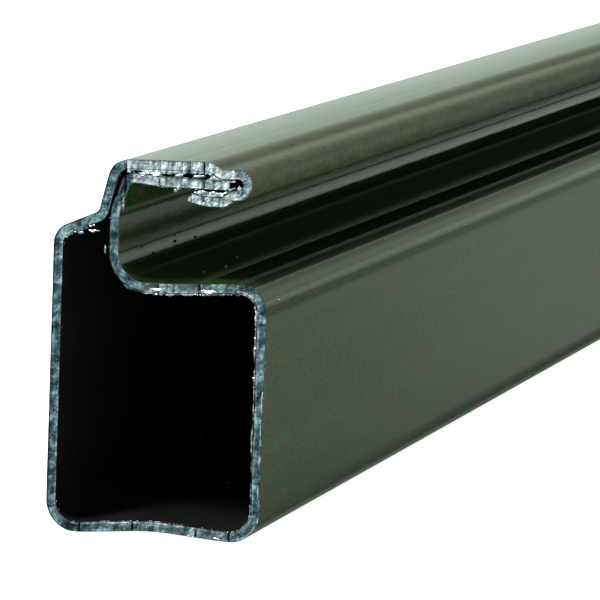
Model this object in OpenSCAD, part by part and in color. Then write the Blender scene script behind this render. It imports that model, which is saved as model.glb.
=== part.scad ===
// Roll-formed screen rail: one long strip of enamelled aluminium, folded into a
// hollow box with a spline groove along its front and a lock-seamed flange on top.
//
// +Z is up, +Y runs along the rail, and the groove opens towards +X. The origin is
// under the middle of the rail, on the surface that its two feet stand on. All sizes
// are in millimetres.
//
// The section is drawn as the rolls make it: a list of folds along the strip's painted
// face, starting at the hem's slit edge and ending at the tongue's slit edge. Between
// two folds the strip is flat, and at each fold it bends round an arc. Every node is a
// stretch of that one strip, or one of the two coats that it carries.

/* [Rail] */
// Length of the rail: one 36 inch cut
rail_len = 914.4; // [150:0.1:2438.4]
// Width across the box walls: 7/16 inch
rail_w = 11.1125; // [11.0875:0.0125:11.2]
// Height from the feet to the top of the flange: 3/4 inch
rail_h = 19.05; // [19.04:0.01:19.2]

/* [Strip] */
// Thickness of the strip with both its coats: 0.020 inch sheet
strip_t = 0.5; // [0.4:0.01:0.51]
// Thickness of the enamel on the strip's painted face
enamel_t = 0.03; // [0.02:0.005:0.05]
// Thickness of the wash coat on the strip's other face
wash_t = 0.02; // [0.01:0.005:0.03]

/* [Box] */
// Height of the front wall, up to the groove floor
front_h = 13.12; // [12.9:0.01:13.2]
// Height at which the sloping shoulder would meet the back wall
back_h = 15.27; // [15.1:0.01:15.4]
// Outside radius of the two feet
foot_r = 1.6; // [1.2:0.05:1.8]
// Outside radius between the front wall and the groove floor
front_r = 1.4; // [1.2:0.05:1.6]
// Outside radius between the back wall and the shoulder
shoulder_r = 1.1; // [0.8:0.05:1.2]
// How far the middle of the bottom web arches up between the feet
web_arch = 0.46; // [0.2:0.01:0.5]

/* [Spline groove] */
// Depth of the groove, from the front wall to its back
groove_depth = 7.73; // [7.6:0.01:7.74]
// How far the groove floor dips towards its middle
floor_dip = 0.27; // [0.1:0.01:0.3]
// Radius in the groove's lower back corner
heel_r = 1.5; // [1.3:0.05:1.6]
// Height of the groove's roof
roof_h = 17.67; // [17.66:0.01:17.7]
// Height at which the groove's back starts to lean forward
lean_h = 16.3; // [16.1:0.05:16.4]
// How far the groove's back leans forward before it turns into the roof
lean = 0.55; // [0.45:0.01:0.6]
// Radius between the groove's back and its roof
roof_r = 0.25; // [0.2:0.01:0.3]

/* [Lock seam] */
// How far the flange's back edge is set in from the back wall
flange_in = 2.96; // [2.9:0.01:2.97]
// How far the flange falls from its crest to its back edge
flange_fall = 0.08; // [0:0.01:0.1]
// Outside radius at the flange's back edge
flange_r = 1.1; // [0.9:0.05:1.15]
// How far the foot of the seam's step is set in from the back wall
step_in = 2.3; // [2.2:0.01:2.31]
// Height of the foot of the seam's step
step_h = 16.28; // [16.2:0.01:16.4]
// How far the hem bead reaches in front of the rail's middle
bead_reach = 4.62; // [4.61:0.01:4.7]
// Outside radius of the hem bead
bead_r = 0.76; // [0.74:0.01:0.77]
// Height of the underside of the hem bead
bead_h = 17.19; // [17.15:0.01:17.25]
// Height of the underside of the hem's lip
lip_h = 16.8; // [16.7:0.01:16.85]
// Where the tongue's slit edge stands inside the hem, in front of the rail's middle
tongue_reach = 3.45; // [3.0:0.05:3.45]
// Where the hem's slit edge stands, in front of the rail's middle
lip_reach = 1.4; // [1.2:0.05:1.6]

/* [Hidden] */
arc_step = 7.5;                     // a bend is drawn in steps of at most this many degrees

half_w = rail_w / 2;
groove_x = half_w - groove_depth;   // where the groove's back stands

// The web rises from both feet to its arch. The feet's fold lines lie a little under
// the floor, so that the round of each foot just touches it.
web_slope = atan(web_arch / half_w);
foot_z = foot_r * (1 - tan(web_slope) - 1 / cos(web_slope));

// The lip's slit edge is sprung up off the lip, which then joggles up to the bead.
lip_spring = 0.17;
lip_flat = 0.8;
lip_end_x = 3.22;
bead_start_x = 3.74;
lip_r = 1.5;
joggle_in_r = 0.6;
joggle_out_r = 0.3;

// The bead is a half circle that ends a little steeper than it starts, so its two fold
// lines stand a little more than its diameter apart.
bead_steep = 0.11;
bead_fold = 2 * bead_r + bead_steep;

// The flange dips in front of its crest, where the bead begins.
dip = 0.36;
dip_x = 3.1;
dip_r = 0.5;
crest_x = 2.5;
crest_r = 0.9;

// The seam's step turns into the sloping shoulder, and the web bends to its arch.
step_r = 0.35;
arch_r = 12;

// The groove floor is lowest here, and falls this much more to its heel.
floor_low_x = 0.6;
floor_fall = 0.05;
floor_r = 6;

// The groove's back turns forward, and the roof settles to its height at the middle.
lean_r = 2;
roof_rise = 0.15;
roof_flat_r = 5;

// Fold lines of the strip on its painted face, as [x, z, bend radius]. The two ends
// are slit edges and have no bend.
FOLDS = [
    [lip_reach, lip_h + lip_spring, 0],                       // 0  slit edge of the hem
    [lip_reach + lip_flat, lip_h, lip_r],                     // 1
    [lip_end_x, lip_h, joggle_in_r],                          // 2  joggle
    [bead_start_x, bead_h, joggle_out_r],                     // 3  joggle
    [bead_reach, bead_h, bead_r],                             // 4  bead, lower half
    [bead_reach, bead_h + bead_fold, bead_r],                 // 5  bead, upper half
    [dip_x, rail_h - dip, dip_r],                             // 6
    [crest_x, rail_h, crest_r],                               // 7
    [-half_w + flange_in, rail_h - flange_fall, flange_r],    // 8  back edge of the flange
    [-half_w + step_in, step_h, step_r],                      // 9  foot of the step
    [-half_w, back_h, shoulder_r],                            // 10
    [-half_w, foot_z, foot_r],                                // 11 back foot
    [0, foot_z + web_arch, arch_r],                           // 12 arch of the web
    [half_w, foot_z, foot_r],                                 // 13 front foot
    [half_w, front_h, front_r],                               // 14
    [floor_low_x, front_h - floor_dip, floor_r],              // 15
    [groove_x, front_h - floor_dip - floor_fall, heel_r],     // 16 heel of the groove
    [groove_x, lean_h, lean_r],                               // 17
    [groove_x + lean, roof_h + roof_rise, roof_r],            // 18
    [0, roof_h, roof_flat_r],                                 // 19
    [tongue_reach, roof_h, 0]                                 // 20 slit edge of the tongue
];
LAST = len(FOLDS) - 1;

ALUMINIUM = [0.66, 0.68, 0.69];
ENAMEL = [0.22, 0.20, 0.15];
WASH = [0.13, 0.13, 0.11];

function fold_at(i) = [FOLDS[i][0], FOLDS[i][1]];

// The flat before fold i runs in this direction, in degrees. A slit edge has one flat.
function heading(i) =
    let (to = fold_at(max(i, 1)), from = fold_at(max(i, 1) - 1))
    atan2(to[1] - from[1], to[0] - from[0]);

// How far the strip turns at fold i: positive to the left, 0 at a slit edge.
function half_turned(a) = a > 180 ? a - 360 : (a < -180 ? a + 360 : a);
function turn(i) = (i == 0 || i == LAST) ? 0 : half_turned(heading(i + 1) - heading(i));

// How much of the flat on each side of fold i its bend takes up.
function setback(i) = FOLDS[i][2] * tan(abs(turn(i)) / 2);

// The point at depth d under the painted face, this part of the way round the bend at
// fold i. A left turn has its centre under the painted face, and a right turn above it.
function along(a) = [cos(a), sin(a)];
function left_of(a) = [-sin(a), cos(a)];
function bend_point(i, part, d) =
    let (side = turn(i) < 0 ? -1 : 1,
         r = FOLDS[i][2],
         centre = fold_at(i) - setback(i) * along(heading(i)) + side * r * left_of(heading(i)))
    centre - side * (r - side * d) * left_of(heading(i) + part * turn(i));

// Stations along the strip: a bend starts at its fold's entry and ends at its exit.
function entry(fold) = 2 * fold;
function exit(fold) = 2 * fold + 1;
function bend_steps(i) = max(1, ceil(abs(turn(i)) / arc_step));

// The line at depth d under the painted face, from one station to another.
function face_line(from, to, d) = [
    for (i = [floor(from / 2) : floor(to / 2)])
        let (n = bend_steps(i), first = from > entry(i) ? n : 0, last = to < exit(i) ? 0 : n)
            for (k = [first : last]) bend_point(i, k / n, d)
];
function backwards(line) = [for (i = [len(line) - 1 : -1 : 0]) line[i]];

// A stretch of the strip from one station to another, between two depths under its
// painted face, over the whole length of the rail.
module stretch(from, to, upper, lower) {
    rotate([90, 0, 0])
        linear_extrude(rail_len, center = true)
            polygon(concat(face_line(from, to, upper), backwards(face_line(from, to, lower))));
}

// The bare metal of a stretch, between its two coats.
module metal(from, to) {
    color(ALUMINIUM) stretch(from, to, enamel_t, strip_t - wash_t);
}

module hem_lip() { metal(exit(0), entry(2)); }
module hem_bead() { metal(entry(2), exit(5)); }
module seam_flange() { metal(exit(5), entry(8)); }
module seam_step() { metal(entry(8), entry(9)); }
module back_shoulder() { metal(entry(9), exit(10)); }
module back_wall() { metal(exit(10), entry(11)); }
module back_foot() { metal(entry(11), exit(11)); }
module bottom_web() { metal(exit(11), entry(13)); }
module front_foot() { metal(entry(13), exit(13)); }
module front_wall() { metal(exit(13), entry(14)); }
module front_shoulder() { metal(entry(14), exit(14)); }
module groove_floor() { metal(exit(14), entry(16)); }
module groove_heel() { metal(entry(16), exit(16)); }
module groove_back() { metal(exit(16), entry(18)); }
module seam_tongue() { metal(entry(18), entry(LAST)); }

// The bronze enamel on the face that shows: the outside, the groove and the hem.
module enamel_coat() {
    color(ENAMEL) stretch(exit(0), entry(LAST), 0, enamel_t);
}

// The thin wash coat on the other face, inside the box and inside the seam.
module wash_coat() {
    color(WASH) stretch(exit(0), entry(LAST), strip_t - wash_t, strip_t);
}

hem_lip();
hem_bead();
seam_flange();
seam_step();
back_shoulder();
back_wall();
back_foot();
bottom_web();
front_foot();
front_wall();
front_shoulder();
groove_floor();
groove_heel();
groove_back();
seam_tongue();
enamel_coat();
wash_coat();
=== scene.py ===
# %% [markdown]
# # A roll-formed screen rail
#
# The rail is one long strip of aluminium sheet. It was painted flat, bronze on one face and
# a thin wash coat on the other, and then rolled into a hollow box with a groove along its
# front. The two edges of the strip are folded into each other on top, where a toothed wheel
# has pressed them together. The ends are sawn, so they show bare metal.
#
# The CAD model gives the frame: how long, wide and high the rail is. This lesson works out
# the strip again from its folds, finely enough to show paint, teeth and saw marks.

# %% Load the frame
import math

import bpy
import numpy as np
from mathutils import Matrix, Vector


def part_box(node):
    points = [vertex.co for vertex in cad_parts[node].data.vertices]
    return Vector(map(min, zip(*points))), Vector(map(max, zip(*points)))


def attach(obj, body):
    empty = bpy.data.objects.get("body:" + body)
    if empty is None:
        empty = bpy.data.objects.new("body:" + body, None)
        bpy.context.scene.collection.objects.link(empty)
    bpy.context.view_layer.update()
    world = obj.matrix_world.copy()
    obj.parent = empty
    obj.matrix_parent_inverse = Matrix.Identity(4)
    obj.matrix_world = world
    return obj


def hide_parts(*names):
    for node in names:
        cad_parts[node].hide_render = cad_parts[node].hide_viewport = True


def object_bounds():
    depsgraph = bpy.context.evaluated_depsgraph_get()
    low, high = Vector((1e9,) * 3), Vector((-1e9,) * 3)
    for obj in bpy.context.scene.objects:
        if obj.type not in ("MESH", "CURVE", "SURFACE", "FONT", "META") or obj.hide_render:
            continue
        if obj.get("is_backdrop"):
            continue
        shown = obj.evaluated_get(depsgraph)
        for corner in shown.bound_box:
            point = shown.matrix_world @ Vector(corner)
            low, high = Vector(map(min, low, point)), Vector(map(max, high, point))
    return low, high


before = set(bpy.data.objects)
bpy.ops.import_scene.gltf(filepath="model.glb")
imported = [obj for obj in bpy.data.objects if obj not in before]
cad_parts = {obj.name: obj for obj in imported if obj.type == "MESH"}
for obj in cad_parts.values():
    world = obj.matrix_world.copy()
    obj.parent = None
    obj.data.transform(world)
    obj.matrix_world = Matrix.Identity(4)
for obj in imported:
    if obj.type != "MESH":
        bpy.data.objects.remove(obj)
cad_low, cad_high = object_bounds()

MM = 0.001
seeded = np.random.default_rng(1905)

corners = np.array([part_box(name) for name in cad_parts]) / MM
left, near, floor_level = corners.min(axis=(0, 1))
right, far, top_level = corners.max(axis=(0, 1))
half_w = (right - left) / 2
rail_len = far - near
print(f"rail: {2 * half_w:.3f} x {rail_len:.1f} x {top_level:.2f} mm")

# %% [markdown]
# ## The folded strip
#
# A roll-former bends the strip a little at each stand, and it never stretches it. So the
# whole section follows from its fold lines: where each lies, and how tight its bend is. The
# outline could be drawn as a curve by hand, but then the paint, the metal and the wash coat
# would not stay parallel. Here every layer comes from one rule: go so far along the strip,
# and so deep under its painted face.

# %% Sizes of the section in millimetres, as the CAD model has them
strip_t, enamel_t, wash_t = 0.5, 0.03, 0.02
inner_face = strip_t - wash_t           # depth at which the metal ends and the wash starts
rail_h = 19.05

# The hem: its slit edge is sprung up off the lip, which joggles up to the bead. The bead
# is a half circle, a little steeper where it ends.
lip_reach, lip_h, lip_spring, lip_flat, lip_r = 1.4, 16.8, 0.17, 0.8, 1.5
lip_end_x, bead_start_x, joggle_in_r, joggle_out_r = 3.22, 3.74, 0.6, 0.3
bead_reach, bead_h, bead_r, bead_steep = 4.62, 17.19, 0.76, 0.11
bead_fold = 2 * bead_r + bead_steep

# The flange: it dips behind the bead, rises to its crest and falls to its back edge.
dip_x, dip, dip_r = 3.1, 0.36, 0.5
crest_x, crest_r = 2.5, 0.9
flange_in, flange_fall, flange_r = 2.96, 0.08, 1.1
step_in, step_h, step_r = 2.3, 16.28, 0.35

# The box: its web arches up between two feet, which just touch the floor.
back_h, shoulder_r = 15.27, 1.1
foot_r, web_arch, arch_r = 1.6, 0.46, 12
front_h, front_r = 13.12, 1.4
web_slope = math.atan(web_arch / half_w)
foot_z = foot_r * (1 - math.tan(web_slope) - 1 / math.cos(web_slope))

# The groove: its floor dips, and its back leans forward and turns into the roof.
groove_depth = 7.73
groove_x = half_w - groove_depth
floor_low_x, floor_dip, floor_fall, floor_r, heel_r = 0.6, 0.27, 0.05, 6, 1.5
lean, lean_h, lean_r = 0.55, 16.3, 2
roof_h, roof_rise, roof_r, roof_flat_r = 17.67, 0.15, 0.25, 5
tongue_reach = 3.45

# %% Fold lines of the painted face: across, up, bend radius
FOLDS = np.array([
    [lip_reach, lip_h + lip_spring, 0],                         # 0  slit edge of the hem
    [lip_reach + lip_flat, lip_h, lip_r],                       # 1
    [lip_end_x, lip_h, joggle_in_r],                            # 2  joggle
    [bead_start_x, bead_h, joggle_out_r],                       # 3  joggle
    [bead_reach, bead_h, bead_r],                               # 4  bead, lower half
    [bead_reach, bead_h + bead_fold, bead_r],                   # 5  bead, upper half
    [dip_x, rail_h - dip, dip_r],                               # 6  dip behind the bead
    [crest_x, rail_h, crest_r],                                 # 7  crest
    [-half_w + flange_in, rail_h - flange_fall, flange_r],      # 8  back edge of the flange
    [-half_w + step_in, step_h, step_r],                        # 9  foot of the step
    [-half_w, back_h, shoulder_r],                              # 10 back shoulder
    [-half_w, foot_z, foot_r],                                  # 11 back foot
    [0, foot_z + web_arch, arch_r],                             # 12 arch of the web
    [half_w, foot_z, foot_r],                                   # 13 front foot
    [half_w, front_h, front_r],                                 # 14 front shoulder
    [floor_low_x, front_h - floor_dip, floor_r],                # 15 lowest line of the floor
    [groove_x, front_h - floor_dip - floor_fall, heel_r],       # 16 heel of the groove
    [groove_x, lean_h, lean_r],                                 # 17 where its back leans
    [groove_x + lean, roof_h + roof_rise, roof_r],              # 18 corner under the roof
    [0, roof_h, roof_flat_r],                                   # 19 roof
    [tongue_reach, roof_h, 0],                                  # 20 slit edge of the tongue
])
LAST = len(FOLDS) - 1

# %% Where each bend starts, turns and ends
runs = np.diff(FOLDS[:, :2], axis=0)
headings = np.arctan2(runs[:, 1], runs[:, 0])
headings = np.concatenate([headings[:1], headings])        # the flat before each fold
turns = np.zeros(LAST + 1)
turns[1:LAST] = np.angle(np.exp(1j * np.diff(headings[1:])))
radii = FOLDS[:, 2]
setbacks = radii * np.tan(np.abs(turns) / 2)


def left_of(angle):
    """The unit vector a quarter turn to the left of this direction: (-sin, cos)."""
    return np.stack([-np.sin(angle), np.cos(angle)], axis=-1)


def ahead(angle):
    """The unit vector in this direction: (cos, sin)."""
    return np.stack([np.cos(angle), np.sin(angle)], axis=-1)


def on_bend(i, part, depth):
    """A point of bend i, this part of the way round it and this deep under the painted face.

    The bend's centre lies a radius to the side that it turns to, from where the bend
    starts. The painted face is on that circle, and depth moves the point to the left.
    """
    side = np.where(turns[i] < 0, -1.0, 1.0)[..., None]
    radius = radii[i][..., None]
    start = FOLDS[i, :2] - setbacks[i][..., None] * ahead(headings[i])
    centre = start + side * radius * left_of(headings[i])
    under = left_of(headings[i] + part * turns[i])
    return centre - (side * radius - depth[..., None]) * under


def on_strip(station, depth):
    """Points of the section at these stations along the strip and depths under its paint.

    A station counts folds: its whole part names the bend, its fraction up to a half goes
    round that bend, and the other half runs along the flat to the next bend.
    """
    station, depth = np.broadcast_arrays(np.asarray(station, float), np.asarray(depth, float))
    i = np.clip(np.floor(station).astype(int), 0, LAST)
    fraction = station - i
    part = np.clip(2 * fraction, 0, 1)
    flat = np.clip(2 * fraction - 1, 0, 1)[..., None]
    after = np.minimum(i + 1, LAST)
    leave = on_bend(i, part, depth)
    arrive = on_bend(after, np.zeros_like(part), depth)
    return leave * (1 - flat) + arrive * flat


def stations(first, last, bend_step=6.0, flat_step=50.0):
    """Stations from first to last, closer than bend_step degrees and flat_step millimetres.

    Every half station is a flat or a bend, and is divided evenly into as many steps as
    its length or its turn needs.
    """
    halves = np.arange(math.ceil(2 * first), math.floor(2 * last) + 1) / 2
    marks = np.unique(np.concatenate([[first, last], halves]))
    out = []
    for a, b in zip(marks[:-1], marks[1:]):
        ends = on_strip([a, b], 0.0)
        i = int(a + 1e-9)
        bend = (a - i) < 0.5 - 1e-9
        size = abs(math.degrees(turns[i])) * 2 * (b - a) / bend_step if bend else 0
        size = max(size, np.linalg.norm(ends[1] - ends[0]) / flat_step)
        out.append(np.linspace(a, b, max(1, math.ceil(size - 1e-9)) + 1)[:-1])
    return np.append(np.concatenate(out), last)


line = on_strip(stations(0.5, LAST), 0.0)
face_width = np.linalg.norm(np.diff(line, axis=0), axis=1).sum()
print(f"painted face: {face_width:.1f} mm along its folds")

# %% Compare the outline with the CAD model's own enamel
cad_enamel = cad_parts["enamel_coat"].data
points = np.zeros(3 * len(cad_enamel.vertices))
cad_enamel.vertices.foreach_get("co", points)
section = points.reshape(-1, 3)[:, [0, 2]] / MM
dense = np.concatenate([on_strip(stations(0.5, LAST, 1, 0.05), d) for d in (0.0, enamel_t)])
gap = np.array([np.min(np.hypot(*(dense - p).T)) for p in np.unique(section.round(4), axis=0)])
print(f"outline: every CAD corner lies within {gap.max():.3f} mm of it")

# %% [markdown]
# ## Turning rows of points into a closed solid
#
# Each layer is a band: it has an outer face and an inner face, and it is closed at both
# ends and along both edges. Blender's Solidify modifier could thicken a sheet, but it can't
# follow a ragged saw cut or meet another layer exactly. So the band is given as one closed
# loop of rows, and the function only has to join each row to the next.

# %% A closed band from a loop of rows
def band_faces(rows, columns):
    """Corner numbers of a band's faces.

    The rows form a loop: out along one face, round the end, back along the other face and
    round the other end. Row k of the first half faces row (rows - 1 - k) of the second
    half, and short faces across those pairs close the band's two long edges.
    """
    r = np.arange(rows)[:, None]
    c = np.arange(columns - 1)[None, :]
    a = r * columns + c
    b = (r + 1) % rows * columns + c
    faces = np.stack([a, a + 1, b + 1, b], axis=-1).reshape(-1, 4)
    k = np.arange(rows // 2 - 1)
    pair = (rows - 1 - k) * columns
    edge = np.stack([k * columns, (k + 1) * columns, pair - columns, pair], axis=-1)
    return np.concatenate([faces, edge, edge[:, ::-1] + columns - 1])


def signed_volume(points, faces):
    """Six times the volume that the faces enclose: a sum of triple products, as triangles."""
    p = points[faces]
    first = np.einsum("ij,ij->i", p[:, 0], np.cross(p[:, 1], p[:, 2])).sum()
    return first + np.einsum("ij,ij->i", p[:, 0], np.cross(p[:, 2], p[:, 3])).sum()


def new_piece(name, points, faces, material, crease=40):
    """A mesh object from corner points in millimetres. Its faces are turned outwards."""
    points = np.clip(points, [left, near, floor_level], [right, far, top_level])
    if signed_volume(points, faces) < 0:
        faces = faces[:, ::-1]
    mesh = bpy.data.meshes.new(name)
    mesh.vertices.add(len(points))
    mesh.vertices.foreach_set("co", (points * MM).astype(np.float32).ravel())
    mesh.loops.add(faces.size)
    mesh.loops.foreach_set("vertex_index", faces.astype(np.int32).ravel())
    mesh.polygons.add(len(faces))
    mesh.polygons.foreach_set("loop_start", np.arange(0, faces.size, 4, dtype=np.int32))
    mesh.update(calc_edges=True)
    mesh.validate()
    mesh.polygons.foreach_set("use_smooth", np.ones(len(mesh.polygons), bool))
    mesh.set_sharp_from_angle(angle=math.radians(crease))
    mesh.materials.append(material)
    piece = bpy.data.objects.new(name, mesh)
    bpy.context.scene.collection.objects.link(piece)
    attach(piece, "root")
    print(f"{name}: {len(faces)} faces")
    return piece


def band(name, along, across, upper, lower, material):
    """A layer of the strip as a closed band.

    along is the rows' places down the rail, across the stations, and upper and lower the
    depths of its two faces. Each may be a number or a grid of rows by stations.
    """
    shape = (len(along), len(across))
    down = np.broadcast_to(along if np.ndim(along) == 2 else np.asarray(along)[:, None], shape)
    halves = []
    for depth, order in ((upper, slice(None)), (lower, slice(None, None, -1))):
        flat = on_strip(np.broadcast_to(across, shape), np.broadcast_to(depth, shape))
        halves.append(np.dstack([flat[..., 0], down, flat[..., 1]])[order])
    points = np.concatenate(halves).reshape(-1, 3)
    return new_piece(name, points, band_faces(2 * shape[0], shape[1]), material)


# %% [markdown]
# ## Roughness that repeats the same way each time
#
# Sawn metal and chipped paint need numbers that look random and are the same in each run.
# Value noise does that: random heights on a lattice, with a smooth curve between them. Many
# octaves could be added, and here one or two are enough for each detail.

# %% Value noise on arrays
noise_table = seeded.random((256, 256))


def wobble(u, v, size, shift=0):
    """Smooth noise from 0 to 1 at (u, v), whose lumps are about size wide.

    The four lattice values round each point are blended with the curve 3t^2 - 2t^3.
    """
    u = np.asarray(u, float) / size + 17.3 * shift
    v = np.asarray(v, float) / size + 5.1 * shift
    i, j = np.floor(u).astype(int), np.floor(v).astype(int)
    s, t = u - i, v - j
    s, t = s * s * (3 - 2 * s), t * t * (3 - 2 * t)
    low = noise_table[i % 256, j % 256] * (1 - s) + noise_table[(i + 1) % 256, j % 256] * s
    top = (noise_table[i % 256, (j + 1) % 256] * (1 - s)
           + noise_table[(i + 1) % 256, (j + 1) % 256] * s)
    return low * (1 - t) + top * t


def bump_at(x, centre, width):
    """A smooth hump, 1 at its centre and gone at a width away: (1 - d^2)^2."""
    d = np.clip(np.abs(x - centre) / width, 0, 1)
    return (1 - d * d) ** 2


print(f"noise runs from {noise_table.min():.3f} to {noise_table.max():.3f}")

# %% [markdown]
# ## Finishes
#
# Bronze enamel is a semi-gloss baked paint. From close by it isn't one colour: flecks of
# green and plum lie in it, and the rolls leave faint streaks along the rail. Where a point's
# value "worked" is 1 the seaming wheel has made it duller and browner, and where "scuffed"
# is 1 it has lost its shine. The cut ends are bare aluminium, bluish where the saw burnished
# it and white where it tore, which "polish" says. The wash coat inside is thin, dull and
# almost black: partly its own dark colour and partly painted shade, so that the hollow stays
# dark even near the open ends. All three are made from noise in the object's own
# coordinates, so that a pattern neither stretches nor slides.

# %% Node helpers
def node(tree, kind, **values):
    """A node of this kind, with its named properties and inputs set."""
    made = tree.nodes.new(kind)
    for key, value in values.items():
        if hasattr(made, key):
            setattr(made, key, value)
        else:
            made.inputs[key.replace("_", " ")].default_value = value
    return made


def scaled(tree, source, factor, offset):
    """A value that is source times factor, plus offset. The offset may be a node's value."""
    made = node(tree, "ShaderNodeMath", operation="MULTIPLY_ADD")
    tree.links.new(source, made.inputs[0])
    made.inputs[1].default_value = factor
    if hasattr(offset, "links"):
        tree.links.new(offset, made.inputs[2])
    else:
        made.inputs[2].default_value = offset
    return made.outputs[0]


def pattern(tree, scale, detail=3.0, rough=0.55):
    """Noise in object coordinates, with its own scale along each axis, per metre."""
    place = node(tree, "ShaderNodeTexCoord")
    mapping = node(tree, "ShaderNodeMapping")
    mapping.inputs["Scale"].default_value = scale
    noise = node(tree, "ShaderNodeTexNoise", Scale=1.0, Detail=detail, Roughness=rough)
    tree.links.new(place.outputs["Object"], mapping.inputs["Vector"])
    tree.links.new(mapping.outputs["Vector"], noise.inputs["Vector"])
    return noise.outputs["Fac"]


def ramp(tree, source, *stops):
    """A colour for each value of source, given as (place, (red, green, blue)) stops."""
    made = node(tree, "ShaderNodeValToRGB")
    band_of = made.color_ramp
    while len(band_of.elements) < len(stops):
        band_of.elements.new(0.5)
    for element, (place, colour) in zip(band_of.elements, stops):
        element.position = place
        element.color = (*colour, 1)
    tree.links.new(source, made.inputs["Fac"])
    return made.outputs["Color"]


def blend(tree, first, second, amount, mode="MIX"):
    """Two colours mixed. The amount is a number or another node's value."""
    mix = node(tree, "ShaderNodeMix", data_type="RGBA", blend_type=mode)
    if hasattr(amount, "links"):
        tree.links.new(amount, mix.inputs[0])
    else:
        mix.inputs[0].default_value = amount
    tree.links.new(first, mix.inputs[6])
    tree.links.new(second, mix.inputs[7])
    return mix.outputs[2]


def spread(tree, source, low, high):
    """A value from 0 to 1 spread over low to high."""
    made = node(tree, "ShaderNodeMapRange")
    made.inputs["To Min"].default_value = low
    made.inputs["To Max"].default_value = high
    tree.links.new(source, made.inputs["Value"])
    return made.outputs["Result"]


def new_material(name):
    """A material with an empty Principled shader. Returns it, its tree and the shader."""
    made = bpy.data.materials.new(name)
    made.use_nodes = True
    return made, made.node_tree, made.node_tree.nodes["Principled BSDF"]


def raise_bump(tree, shader, source, distance, strength):
    """Lifts the surface by source, up to this distance in metres, for the light only."""
    bump = node(tree, "ShaderNodeBump", Strength=strength, Distance=distance)
    tree.links.new(source, bump.inputs["Height"])
    tree.links.new(bump.outputs["Normal"], shader.inputs["Normal"])


# %% Bronze enamel
enamel, tree, shader = new_material("bronze_enamel")
fleck = ramp(tree, pattern(tree, (3600, 1100, 3600), 2.0, 0.6),
             (0.36, (0.001, 0.050, 0.001)), (0.50, (0.011, 0.026, 0.005)),
             (0.64, (0.052, 0.018, 0.034)))
streak = ramp(tree, pattern(tree, (900, 5, 900), 4.0),
              (0.30, (0.80, 0.82, 0.80)), (0.70, (1.18, 1.16, 1.16)))
colour = blend(tree, fleck, streak, 1.0, "MULTIPLY")
worked = node(tree, "ShaderNodeAttribute", attribute_name="worked")
browned = ramp(tree, pattern(tree, (3000, 700, 3000)),
               (0.4, (0.022, 0.030, 0.010)), (0.6, (0.048, 0.046, 0.024)))
tree.links.new(blend(tree, colour, browned, worked.outputs["Fac"]), shader.inputs["Base Color"])
gloss = spread(tree, pattern(tree, (300, 30, 300)), 0.07, 0.13)
roughened = 0.30
tree.links.new(scaled(tree, worked.outputs["Fac"], roughened, gloss), shader.inputs["Roughness"])
scuffed = node(tree, "ShaderNodeAttribute", attribute_name="scuffed")
full_sheen = 0.5
tree.links.new(scaled(tree, scuffed.outputs["Fac"], -full_sheen, full_sheen),
               shader.inputs["Specular IOR Level"])
raise_bump(tree, shader, pattern(tree, (3000, 900, 3000), 3.0), 0.000012, 0.5)
shader.inputs["IOR"].default_value = 1.5

# %% Bare aluminium of the cut
bare, tree, shader = new_material("bare_aluminium")
shader.inputs["Metallic"].default_value = 1.0
cut = ramp(tree, pattern(tree, (1700, 300, 1700), 4.0),
           (0.38, (0.018, 0.042, 0.048)), (0.50, (0.090, 0.155, 0.180)),
           (0.62, (0.30, 0.42, 0.46)))
clean = ramp(tree, pattern(tree, (2600, 300, 1400), 3.0),
             (0.40, (0.36, 0.43, 0.46)), (0.58, (1.0, 1.0, 1.0)))
polish = node(tree, "ShaderNodeAttribute", attribute_name="polish")
tree.links.new(blend(tree, cut, clean, polish.outputs["Fac"]), shader.inputs["Base Color"])
tree.links.new(spread(tree, pattern(tree, (1500, 600, 1500)), 0.16, 0.42),
               shader.inputs["Roughness"])
raise_bump(tree, shader, pattern(tree, (5200, 900, 5200), 2.0), 0.00001, 0.7)

# %% Wash coat
wash, tree, shader = new_material("wash_coat")
# Near-black: partly the wash coat's own dark colour, partly painted shade that keeps the hollow
# dark even near its open ends.
wash_tone_and_shade = ramp(tree, pattern(tree, (500, 12, 500), 3.0),
            (0.3, (0.004, 0.0045, 0.004)), (0.7, (0.009, 0.010, 0.009)))
tree.links.new(wash_tone_and_shade, shader.inputs["Base Color"])
tree.links.new(spread(tree, pattern(tree, (200, 20, 200)), 0.7, 0.85), shader.inputs["Roughness"])
shader.inputs["Specular IOR Level"].default_value = 0.05
raise_bump(tree, shader, pattern(tree, (2000, 500, 2000), 2.0), 0.000003, 0.5)
print("finishes:", enamel.name, bare.name, wash.name)

# %% [markdown]
# ## The enamel
#
# The paint went on before the strip was rolled, so it is one film from the hem's slit edge
# to the tongue's. It is made in five bands, because they need different detail: the bead
# has the teeth of the seaming wheel pressed into it, the roof has their faint marks, and
# the lip, the box and the groove are smooth. The bands meet on flats, where a join can't be
# seen. The saw has chipped the film back a little at both ends.

# %% Rows along the rail
chip_depth = 0.07
rows_per_tooth = 4


def smooth_rows():
    """Places down the rail: a few rows near each end and wide ones between."""
    ends = np.array([0.0, 0.3, 1.0, 3.0, 10.0, 30.0, 90.0])
    return np.concatenate([near + ends, np.linspace(near + 180, far - 180, 4), far - ends[::-1]])


def toothed_rows(pitch):
    """Places down the rail, rows_per_tooth of them to each pitch."""
    steps = round(rail_len / pitch) * rows_per_tooth
    return near + rail_len * np.arange(steps + 1) / steps


def chipped(along, across):
    """The rows with both ends set back by noise along the strip, where paint broke off."""
    grid = np.repeat(np.asarray(along)[:, None], len(across), axis=1)
    where = on_strip(across, 0.0)
    ragged = wobble(where[:, 0], where[:, 1], 0.35, 3) * wobble(where[:, 0], where[:, 1], 1.3, 4)
    grid[0] = near + chip_depth * ragged
    grid[-1] = far - chip_depth * ragged
    return grid


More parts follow.
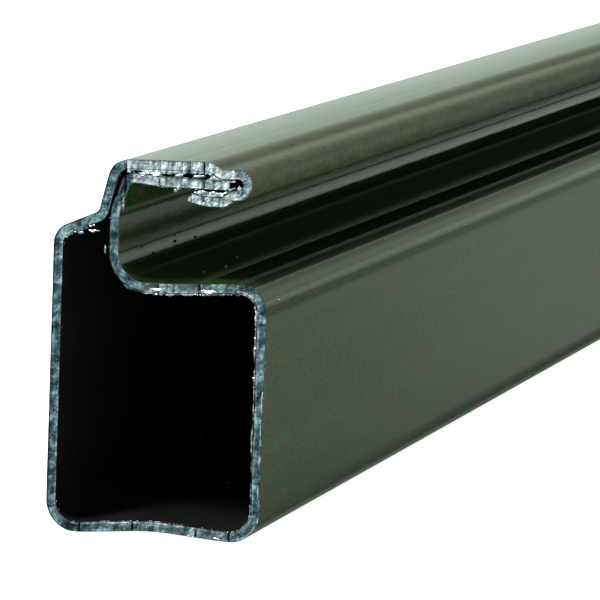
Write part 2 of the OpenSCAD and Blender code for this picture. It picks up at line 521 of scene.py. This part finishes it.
def drawn_lines(across):
    """Depth of the faint lines that the rolls draw along the paint, in millimetres.

    The front wall is pulled in a very little just below its shoulder, over a third of a
    millimetre, and comes out again over the 6 mm above its foot. The flange has one shallow
    line, and its back half is crowned. s(x) = (1 - cos(pi x)) / 2 eases the wall's steps.
    """
    wall_pull, line_depth, crown_fall = 0.022, 0.008, 0.020
    where = on_strip(across, 0.0)
    x, z = where[:, 0], where[:, 1]

    def eased(way):
        return (1 - np.cos(math.pi * np.clip(way, 0, 1))) / 2

    wall = (x > half_w - 0.3) * eased((z - 2.0) / 6.0) * eased((11.70 - z) / 0.34)
    top = (z > rail_h - 0.25) & (x < 2.4)
    line = line_depth * bump_at(x, 0.9, 0.35)
    crown = crown_fall * np.clip((0.8 - x) / 2.8, 0, 1) ** 2
    return wall_pull * wall + top * (line + crown)


def set_points(piece, name, values):
    """Gives every point of a piece its own number, which a material reads by this name."""
    attribute = piece.data.attributes.new(name, "FLOAT", "POINT")
    attribute.data.foreach_set("value", np.asarray(values, np.float32).ravel())


def mark_worked(piece, rows, across):
    """Says where the seaming rolls have touched the paint, from 0 to 1 by station.

    The wheel has dulled the bead, up to the crest. The support roll has scuffed the
    underside of the lip and the front of the groove floor, and its edge has left a fine
    line just under the front shoulder. Each pair of lists holds stations and their levels.
    """
    dulled = ([3.4, 3.9, 6.6, 8.0], [0.0, 1.0, 1.0, 0.0])
    rubbed = ([3.3, 3.8, 13.980, 13.995, 14.050, 14.075, 14.42, 14.52, 14.78, 14.90],
              [1.0, 0.0, 0.0, 0.85, 0.85, 0.0, 0.0, 1.0, 1.0, 0.0])
    for name, (stops, levels) in (("worked", dulled), ("scuffed", rubbed)):
        set_points(piece, name, np.tile(np.interp(across, stops, levels), 2 * rows))


# %% Smooth enamel: the lip, the box and the groove
smooth_zones = {"enamel_lip": (0.5, 3.75), "enamel_box": (5.75, 14.75),
                "enamel_groove": (14.75, 17.75)}
for name, (first, last) in smooth_zones.items():
    across = stations(first, last, 3.0, 0.1)
    along = smooth_rows()
    piece = band(name, chipped(along, across), across, drawn_lines(across), enamel_t, enamel)
    mark_worked(piece, len(along), across)

# %% Knurled enamel: the bead and the roof
tooth_pitch = 1.32
tooth_height = 0.026
roof_share = 0.4        # of the teeth's height, pressed through to the roof


def teeth(along, across, first, last, height):
    """How far the teeth stand up: rounded ridges across the bead, fading at its sides.

    A ridge is |sin| of pi times the distance in pitches, which gives a round crest and a
    narrow valley. The sides fade as the sine of the way from the first station to the last.
    """
    way = np.clip((across - first) / (last - first), 0, 1)
    phase = along[:, None] / tooth_pitch * math.pi
    lump = (0.3 + 0.8 * wobble(along, along * 0, 38.0, 7)
            + 0.5 * wobble(along, along * 0, 3.0, 8))[:, None]
    return height * lump * np.sin(math.pi * way)[None, :] ** 0.6 * np.abs(np.sin(phase))


across = stations(3.75, 5.75, 16.0, 1.0)
along = toothed_rows(tooth_pitch)
from_cut = np.minimum(along - near, far - along)
full_until, fading, least_bite = 12.0, 28.0, 0.35       # the teeth are deepest at the cuts
fade = np.exp(-np.maximum(from_cut - full_until, 0) / fading)
bite = least_bite + (1 - least_bite) * fade
ridges = teeth(along, across, 4.0, 5.5, tooth_height) * bite[:, None]
bead = band("enamel_bead", chipped(along, across), across, -ridges, enamel_t, enamel)
mark_worked(bead, len(along), across)

across = stations(17.75, LAST, 18.0, 0.8)
ridges = teeth(along, across, 18.2, 19.6, roof_share * tooth_height)
band("enamel_roof", chipped(along, across), across, -ridges, enamel_t, enamel)

# %% [markdown]
# ## The wash coat
#
# Coil-coated sheet has a thin wash on its other face. It lines the box and the inside of
# the seam. Its near-black tone is partly the coat's own colour and partly painted shade: it
# keeps the hollow dark, also near the open ends where light would reach in.

# %% Wash coat
across = stations(0.5, LAST, 6.0, 0.5)
band("wash_coat_film", chipped(smooth_rows(), across), across, inner_face, strip_t, wash)

# %% [markdown]
# ## The metal and its sawn ends
#
# Between the two coats lies the bare strip. It shows only at the sawn ends, and there it
# is rough: the saw's teeth leave ridges, chatter leaves deep nicks, and the softer edge is
# pushed over into burrs. A bump in the material would do from far away, but the burrs stand
# in the light, so the cut face is a fine grid whose every point is moved.

# %% The relief of a sawn face
cut_back = 0.055
nick_reach = 0.16
nick_half_width = 0.055
nicks = {"flange": (-1.95, -0.2, 0.95, 1.35, 2.1), "floor": (-0.1, 2.05),
         "web": (-3.8, -1.05, 2.25, 3.95)}


def saw_relief(x, z, t, turn_of):
    """How far each point of the cut lies behind the rail's end, in millimetres.

    x and z are its place in the section, and t runs from 0 at the enamel to 1 at the wash
    coat. Ridges follow the saw's travel, which is downward, so they depend mostly on x.
    """
    ridges = 0.035 * wobble(x, z * 0.12, 0.11, turn_of) + 0.03 * wobble(x, z, 0.28, turn_of + 1)
    grain = 0.022 * wobble(x, z, 0.07, turn_of + 2)
    rim = 0.05 * (2 * t - 1) ** 6 * (wobble(x, z, 0.3, turn_of + 3) - 0.35)
    return cut_back + ridges + grain - rim


def nick_depth(x, z):
    """Chatter marks: narrow nicks at a few places, through whichever layers lie there."""
    depth = np.zeros_like(x)
    layers = {"flange": z > 17.0, "floor": (z > 12) & (z < 14), "web": z < 1.5}
    for layer, places in nicks.items():
        for place in places:
            depth = np.maximum(depth, layers[layer] * bump_at(x, place, nick_half_width))
    return nick_reach * depth


def burr_width(station, x, z, turn_of):
    """How far the saw has pushed metal over the inner edge, in millimetres, by station.

    Each stretch of the strip has its own mean width, because the saw came down from above
    and dragged the layers under it. Two sizes of noise make the edge ragged.
    """
    ragged = 0.35 + wobble(x, z, 0.13, turn_of + 5) ** 2 + 0.7 * wobble(x, z, 0.5, turn_of + 6)
    elsewhere = 0.012
    widths = [(5.9, 8.1, 0.13), (1.0, 3.2, 0.10), (19.0, 20.0, 0.03), (14.4, 16.2, 0.08),
              (13.2, 14.4, 0.06), (11.4, 13.2, 0.03), (8.1, 10.5, 0.03)]
    mean = np.full_like(station, elsewhere)
    for first, last, width in widths:
        mean = np.where((station > first) & (station < last), width, mean)
    return ragged * mean


def shine_of(station, x, z, t, turn_of):
    """How clean the cut is, from 0 for stained to 1 for freshly torn.

    The layers of the flange and the groove floor lay across the saw and are clean. The
    walls lay along it and are smeared, except for a bright burr on their inner edges.
    """
    clean = [(5.6, 8.1, 0.95), (0.5, 4.2, 0.85), (4.2, 5.6, 0.35), (18.4, 20.0, 0.80),
             (15.0, 16.1, 0.30), (14.5, 15.0, 0.20), (11.6, 13.4, 0.10), (9.3, 10.5, 0.10)]
    level = np.full_like(station, 0.02)
    for first, last, shine in clean:
        level = np.where((station > first) & (station < last), shine, level)
    front_and_web = (station > 11.4) & (station < 14.5)
    rim = np.clip((t - 0.72) / 0.2, 0, 1) * np.where(front_and_web, 0.8, 0.25)
    patches = 0.55 + 0.9 * wobble(x, z, 0.45, turn_of + 8)
    return np.clip((level + rim) * patches, 0, 1)


stub = 2.0              # length of each cut end, where the strip between takes over


def cut_end(name, end, inward, turn_of):
    """A short stretch of bare strip with a sawn face, as one closed band.

    Its rows run out along the enamel side to the cut, across the cut in even steps of
    depth, and back along the wash side. inward is +1 or -1, into the rail.
    """
    across = stations(0.5, LAST, 2.5, 0.05)
    crease, burr_roll = 60, 0.12
    face_t = np.linspace(0, 1, 12)
    side = np.array([stub, 0.4, 0.15])
    t = np.concatenate([0 * side, face_t, 0 * side + 1])[:, None]
    depth = t[:, 0] * (inner_face - enamel_t) + enamel_t
    station = across[None, :] + 0 * t
    flat = on_strip(station, depth[:, None] + 0 * station)
    x, z = flat[..., 0], flat[..., 1]
    relief = saw_relief(x, z, t, turn_of) + nick_depth(x, z)
    away = np.concatenate([side, 0 * face_t, side[::-1]])[:, None]
    push = burr_width(station, x, z, turn_of) * np.clip((t - 0.75) / 0.25, 0, 1)
    push = push * np.exp(-away / burr_roll)
    flat = on_strip(station, depth[:, None] + push)
    y = end + inward * np.where(away > 0, away, np.maximum(relief, 0.0))
    points = np.stack([flat[..., 0], y, flat[..., 1]], axis=-1)
    piece = new_piece(name, points.reshape(-1, 3), band_faces(*station.shape), bare,
                      crease)
    set_points(piece, "polish", shine_of(station, x, z, t, turn_of))


cut_end("cut_end_near", near, 1, 10)
cut_end("cut_end_far", far, -1, 40)

# %% The strip between the two cuts
across = stations(0.5, LAST, 6.0, 0.5)
core = band("strip_core", np.linspace(near + stub, far - stub, 7), across, enamel_t,
            inner_face, bare)

# %% Burrs at both cuts
def lumps(name, places, sizes, material):
    """Small torn bits of metal: stretched balls with rough sides, all in one mesh.

    Each ball is a grid of 5 rings of 6 corners, closed over its first and last ring, which
    are almost points. Its radius is stretched along each axis by its own sizes.
    """
    tip = 0.02
    ring, turn = np.meshgrid(np.linspace(tip, math.pi - tip, 5), np.arange(6) * math.pi / 3,
                             indexing="ij")
    ball = np.stack([np.sin(ring) * np.cos(turn), np.sin(ring) * np.sin(turn), np.cos(ring)], -1)
    rough = 0.7 + 0.6 * seeded.random((len(places), *ring.shape, 1))
    points = places[:, None, None] + ball * rough * sizes[:, None, None]
    r, c = np.meshgrid(np.arange(4), np.arange(6), indexing="ij")
    a, b = r * 6 + c, r * 6 + (c + 1) % 6
    one = np.stack([a, a + 6, b + 6, b], -1).reshape(-1, 4)
    caps = np.array([[0, 1, 2, 3], [0, 3, 4, 5], [27, 26, 25, 24], [29, 28, 27, 24]])
    one = np.concatenate([one, caps])
    faces = (np.arange(len(places)) * ring.size)[:, None, None] + one[None]
    return new_piece(name, points.reshape(-1, 3), faces.reshape(-1, 4), material)


clusters = [
    # first station, last station, depth, count, size
    (7.72, 8.00, 0.66, 40, 0.085), (7.52, 7.72, 0.62, 14, 0.070), (5.6, 6.9, 0.60, 40, 0.080),
    (19.0, 19.95, 0.00, 26, 0.060), (18.9, 19.9, 0.50, 30, 0.050), (1.5, 3.4, 0.58, 60, 0.105),
    (0.6, 1.3, 0.55, 24, 0.09), (1.2, 3.2, 0.02, 24, 0.060), (14.5, 15.9, 0.56, 60, 0.095),
    (13.80, 14.1, 0.55, 26, 0.095), (11.7, 13.3, 0.50, 34, 0.050), (17.3, 18.1, 0.02, 20, 0.045),
    (9.6, 10.3, 0.54, 34, 0.085), (13.62, 13.88, 0.03, 50, 0.040), (13.1, 13.5, 0.03, 16, 0.045),
    (10.4, 11.2, 0.50, 14, 0.040), (16.0, 17.2, 0.50, 20, 0.045),
]
blobs = [
    # across, up, half width, half height, count: torn metal that bridges or hangs
    (-4.15, 15.16, 0.13, 0.09, 12), (-3.55, 15.28, 0.22, 0.06, 9), (-2.02, 16.65, 0.05, 0.26, 9),
    (-2.88, 14.35, 0.05, 0.18, 8), (-1.0, 18.24, 0.26, 0.10, 12), (-0.35, 18.26, 0.30, 0.07, 10),
    (0.85, 18.30, 0.16, 0.12, 9), (1.9, 18.28, 0.30, 0.08, 12), (2.7, 18.22, 0.30, 0.12, 14),
    (2.0, 17.42, 0.34, 0.14, 14), (2.9, 17.36, 0.40, 0.16, 18), (1.45, 17.05, 0.12, 0.14, 8),
    (0.75, 17.58, 0.14, 0.09, 7), (3.95, 17.75, 0.10, 0.22, 8), (5.46, 6.9, 0.035, 0.60, 14),
    (5.45, 5.6, 0.035, 0.70, 14), (5.44, 4.3, 0.05, 0.45, 14), (5.40, 2.5, 0.05, 0.40, 8),
    (5.02, 11.3, 0.07, 0.40, 12), (5.03, 9.8, 0.05, 0.50, 9), (5.02, 5.2, 0.05, 0.60, 10),
    (3.4, 0.12, 0.12, 0.06, 6), (-0.2, 12.48, 0.30, 0.07, 10), (2.6, 12.52, 0.40, 0.06, 12),
]


def set_all(piece, name, level):
    """Gives every point of a piece the same number."""
    set_points(piece, name, np.full(len(piece.data.vertices), level))


blob_length = 0.06      # along the rail
blob_set_in = 0.09      # of the middle of each blob, behind the rail's end
for end, inward, name in ((near, 1, "burrs_near"), (far, -1, "burrs_far")):
    where, size = [], []
    for first, last, depth, count, big in clusters:
        station = seeded.uniform(first, last, count)
        flat = on_strip(station, depth + seeded.uniform(-0.02, 0.02, count))
        y = end + inward * seeded.uniform(0.06, 0.16, count)
        where.append(np.stack([flat[:, 0], y, flat[:, 1]], -1))
        size.append(big * seeded.uniform(0.4, 1.0, (count, 1)) * np.array([1, 0.9, 0.8]))
    for x, z, wide, high, count in blobs:
        reach = np.array([wide, blob_length, high])
        place = seeded.normal(0, 0.4, (count, 3)) * reach
        where.append(np.array([x, end + inward * blob_set_in, z]) + place)
        size.append(reach * seeded.uniform(0.4, 0.8, (count, 1)))
    burrs = lumps(name, np.concatenate(where), np.concatenate(size), bare)
    set_all(burrs, "polish", 1.0)

# %% Swarf and grit, as (station, distance from the near cut, size)
swarf = [(14.94, 9.0, 0.13), (15.0, 6.2, 0.05), (15.57, 14.5, 0.05), (14.29, 7.8, 0.07),
         (14.19, 12.8, 0.06), (13.97, 2.5, 0.09), (14.09, 2.8, 0.06), (13.59, 2.2, 0.03),
         (13.78, 3.8, 0.03), (13.53, 4.8, 0.03)]
grit = [(16.46, 4.5, 0.10), (16.36, 6.2, 0.12), (16.40, 10.8, 0.13), (16.37, 14.8, 0.13),
        (16.65, 12.5, 0.10), (16.46, 11.0, 0.08), (16.61, 7.5, 0.08), (13.58, 6.2, 0.06),
        (13.81, 7.0, 0.05), (13.64, 9.5, 0.05), (6.6, 15.0, 0.05), (7.4, 22.0, 0.05),
        (13.96, 10.2, 0.03), (13.955, 10.8, 0.03), (13.945, 11.3, 0.03), (13.935, 11.8, 0.03),
        (13.925, 12.2, 0.03), (13.915, 12.5, 0.03), (13.90, 12.8, 0.03)]


def on_surface(marks, stretch):
    """Places and sizes of marks that lie on the paint, longer along the rail than across."""
    lift, flatness = 0.2, 0.5           # shares of the mark's size
    marks = np.array(marks)
    flat = on_strip(marks[:, 0], -lift * marks[:, 2])
    places = np.stack([flat[:, 0], near + marks[:, 1], flat[:, 1]], -1)
    return places, marks[:, 2:] * np.array([flatness, stretch, flatness])


places, sizes = on_surface(swarf, 1.6)
set_all(lumps("swarf_outside", places, sizes, bare), "polish", 0.8)
places, sizes = on_surface(grit, 1.0)
set_all(lumps("grit_in_paint", places, sizes, enamel), "scuffed", 1.0)

# %% Swarf inside the box: most of it on the web, the rest low on the back wall
station = np.concatenate([seeded.uniform(11.6, 13.2, 18), seeded.uniform(10.7, 11.2, 8)])
count = len(station)
flat = on_strip(station, strip_t + 0.02)
places = np.stack([flat[:, 0], near + seeded.uniform(1.5, 45.0, count), flat[:, 1]], -1)
sizes = seeded.uniform(0.03, 0.07, (count, 1)) * np.array([1, 1.6, 0.7])
set_all(lumps("swarf_inside", places, sizes, bare), "polish", 0.1)

# %% [markdown]
# ## Standing for the CAD nodes
#
# Three of the new pieces stand for CAD nodes, whose plain solids are hidden. strip_core stands
# for the strip's 15 stretches, because no line divides them on the real rail. enamel_box stands
# for the enamel and wash_coat_film for the wash coat. The other pieces complete these three:
# the rest of the enamel, the sawn ends, and the dirt and burrs that a CAD model leaves out.

# %% Replace the plain solids
metal_nodes = [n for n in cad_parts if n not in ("enamel_coat", "wash_coat")]
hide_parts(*metal_nodes)
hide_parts("enamel_coat")
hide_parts("wash_coat")
print(len(metal_nodes), "stretches of metal are shown as one strip")

# %% [markdown]
# ## Floor, light and camera
#
# A semi-gloss dark paint shows mostly what it reflects. At these flat angles the top mirrors
# the bright wall behind and the front mirrors the table, so the surroundings matter more
# than the lamps. Cards and walls could be modelled round the rail. Here the world does it
# with no props: its brightness is the product of three ramps, one for each axis of the
# direction, so each band of the reflection can be set by itself. The pale floor would hide
# the world's lower half, so reflections pass through it.

# %% Floor
floor_mesh = bpy.data.meshes.new("studio_floor")
reach = 30.0
floor_mesh.from_pydata([(-reach, -reach, 0), (reach, -reach, 0), (reach, reach, 0),
                        (-reach, reach, 0)], [], [(0, 1, 2, 3)])
studio_floor = bpy.data.objects.new("studio_floor", floor_mesh)
bpy.context.scene.collection.objects.link(studio_floor)
studio_floor.visible_glossy = False
pale, tree, shader = new_material("studio_floor")
shader.inputs["Base Color"].default_value = (0.9, 0.9, 0.9, 1)
shader.inputs["Roughness"].default_value = 0.9
shader.inputs["Specular IOR Level"].default_value = 0.0
shader.inputs["Emission Color"].default_value = (1, 1, 1, 1)
shader.inputs["Emission Strength"].default_value = 0.95
floor_mesh.materials.append(pale)
studio_floor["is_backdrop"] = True

# %% World
world = bpy.data.worlds.new("studio")
bpy.context.scene.world = world
world.use_nodes = True
tree = world.node_tree
sky = node(tree, "ShaderNodeTexCoord")
split = node(tree, "ShaderNodeSeparateXYZ")
tree.links.new(sky.outputs["Generated"], split.inputs[0])


def surroundings(axis, *stops):
    """Colour by one axis of the direction, as (place from -1 to 1, brightness, tint) stops."""
    place = node(tree, "ShaderNodeMapRange")
    place.inputs["From Min"].default_value = -1
    tree.links.new(split.outputs[axis], place.inputs["Value"])
    return ramp(tree, place.outputs["Result"],
                *[((1 + at) / 2, tuple(level * c for c in tint)) for at, level, tint in stops])


grey = (1, 1, 1)
cool = (0.97, 0.98, 1.16)
airy = (0.84, 1.0, 0.84)
across_sky = surroundings("X", (-1.0, 1.1, airy), (-0.40, 1.0, airy), (-0.24, 0.68, airy),
                          (-0.08, 0.66, airy), (-0.02, 0.58, airy), (0.02, 0.28, airy),
                          (0.08, 0.29, airy), (0.14, 0.44, airy), (0.19, 0.48, airy),
                          (0.235, 0.37, airy), (1.0, 0.30, airy))
up_sky = surroundings("Z", (-1.0, 0.20, grey), (-0.20, 0.24, grey), (-0.15, 0.34, grey),
                      (-0.112, 0.60, grey), (-0.06, 0.62, grey), (-0.02, 0.72, grey),
                      (0.03, 1.05, grey), (0.08, 1.25, grey), (0.10, 0.90, grey),
                      (0.112, 0.77, grey), (0.25, 0.76, grey))
ahead_sky = surroundings("Y", (-1.0, 1.9, cool), (-0.3, 1.4, cool), (0.3, 1.0, grey))
every_way = blend(tree, across_sky, up_sky, 1.0, "MULTIPLY")
tree.links.new(blend(tree, every_way, ahead_sky, 1.0, "MULTIPLY"),
               tree.nodes["Background"].inputs["Color"])


# %% Lamps
def soft_box(name, place, target, width, power):
    """A square area lamp at place that faces target. Metres and watts."""
    data = bpy.data.lights.new(name, "AREA")
    data.shape = "RECTANGLE"
    data.size = data.size_y = width
    data.energy = power
    lamp = bpy.data.objects.new(name, data)
    lamp.location = place
    lamp.rotation_euler = (target - place).to_track_quat("-Z", "Y").to_euler()
    lamp.visible_camera = False
    bpy.context.scene.collection.objects.link(lamp)


sun = bpy.data.lights.new("overhead", "SUN")
sun.energy = 0.8
sun.angle = math.radians(60)
overhead = bpy.data.objects.new("overhead", sun)
overhead.rotation_euler = (math.radians(-12), math.radians(-10), 0)
bpy.context.scene.collection.objects.link(overhead)

near_end = Vector((0, near * MM, 0.5 * rail_h * MM))
soft_box("key_light", near_end + Vector((-0.25, -0.30, 0.60)), near_end, 0.20, 6.0)

# %% Camera
sensor = 36.0
lens = 360.0
turned = math.radians(13.448)
raised = math.radians(6.313)
rolled = math.radians(1.962)
sight = Vector((-7.0529, -12.1633, 301.354)) * MM      # the near end's foot, seen from the lens

right_way = Vector((math.cos(turned), math.sin(turned), 0))
forward = Vector((-math.sin(turned) * math.cos(raised), math.cos(turned) * math.cos(raised),
                  -math.sin(raised)))
up_way = right_way.cross(forward)
foot = Vector((0, near * MM, 0))
lens_at = foot - (right_way * sight.x + up_way * sight.y + forward * sight.z)
axes = Matrix((right_way, up_way, -forward)).transposed()
axes = axes @ Matrix.Rotation(rolled, 3, "Z")

camera_data = bpy.data.cameras.new("camera")
camera_data.sensor_width = sensor
camera_data.lens = lens
camera_data.clip_start = 0.01
camera_data.clip_end = 100
camera = bpy.data.objects.new("camera", camera_data)
camera.matrix_world = Matrix.Translation(lens_at) @ axes.to_4x4()
bpy.context.scene.collection.objects.link(camera)
bpy.context.scene.camera = camera
bpy.context.scene.view_settings.view_transform = "Standard"
print("camera at", tuple(round(c, 4) for c in lens_at))

# %% Compare the sizes, then finish
visual_low, visual_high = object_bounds()
grow = [max(a - b, d - c) / MM for a, b, c, d in zip(cad_low, visual_low, cad_high, visual_high)]
print("outside the CAD box by", [round(g, 4) for g in grow], "mm")
